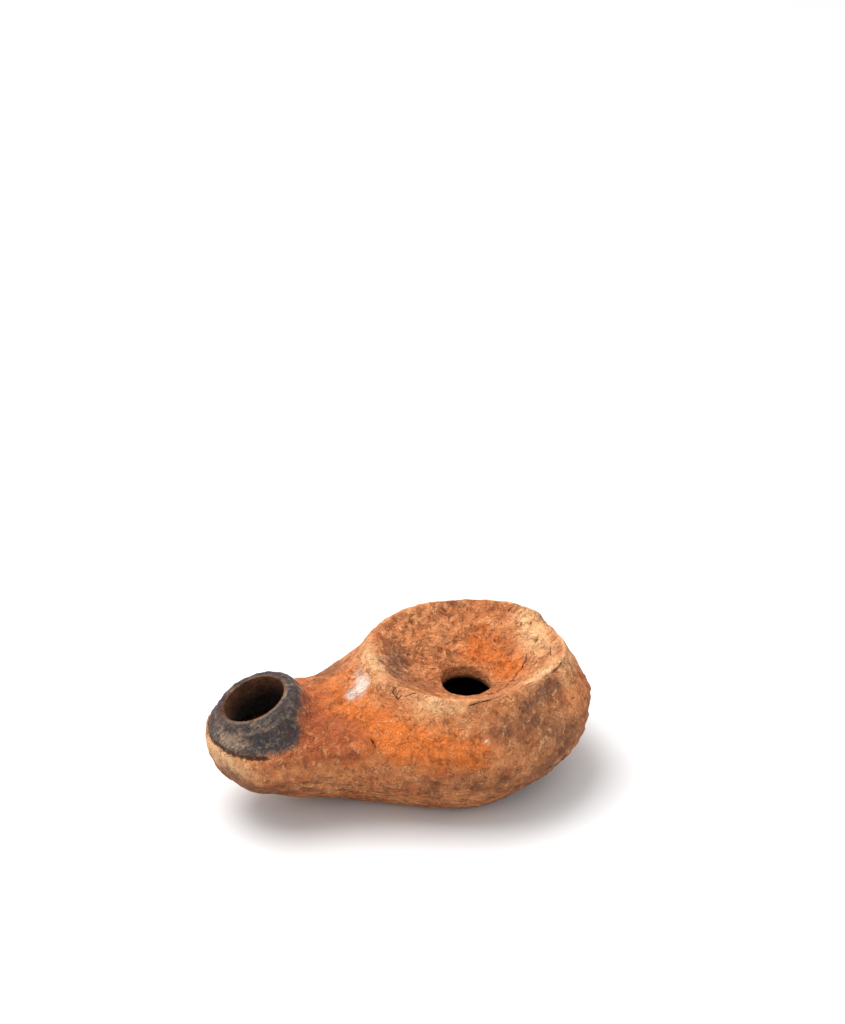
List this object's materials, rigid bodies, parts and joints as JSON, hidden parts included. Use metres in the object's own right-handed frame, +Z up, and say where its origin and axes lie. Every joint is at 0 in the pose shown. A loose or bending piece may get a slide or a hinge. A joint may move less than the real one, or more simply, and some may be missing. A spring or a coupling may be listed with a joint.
{
  "type": "roman oil lamp",
  "caption": "Mould-made Roman oil lamp of fired clay: hollow round body with a sunken dish and filling hole, and a long nozzle that ends in a sooted wick collar.",
  "frame": {"origin": "centre of the flat foot, on the table under the filling hole's axis", "axes": "+X from the nozzle to the back of the body, so the nozzle points along -X; +Z up out of the dish"},
  "size_m": [0.1001, 0.0642, 0.0355],
  "materials": {
    "fired_clay": "matte worn orange-buff terracotta, black with soot round the wick hole"
  },
  "bodies": {
    "root": {"lamp": "fired_clay"}
  },
  "joints": []
}
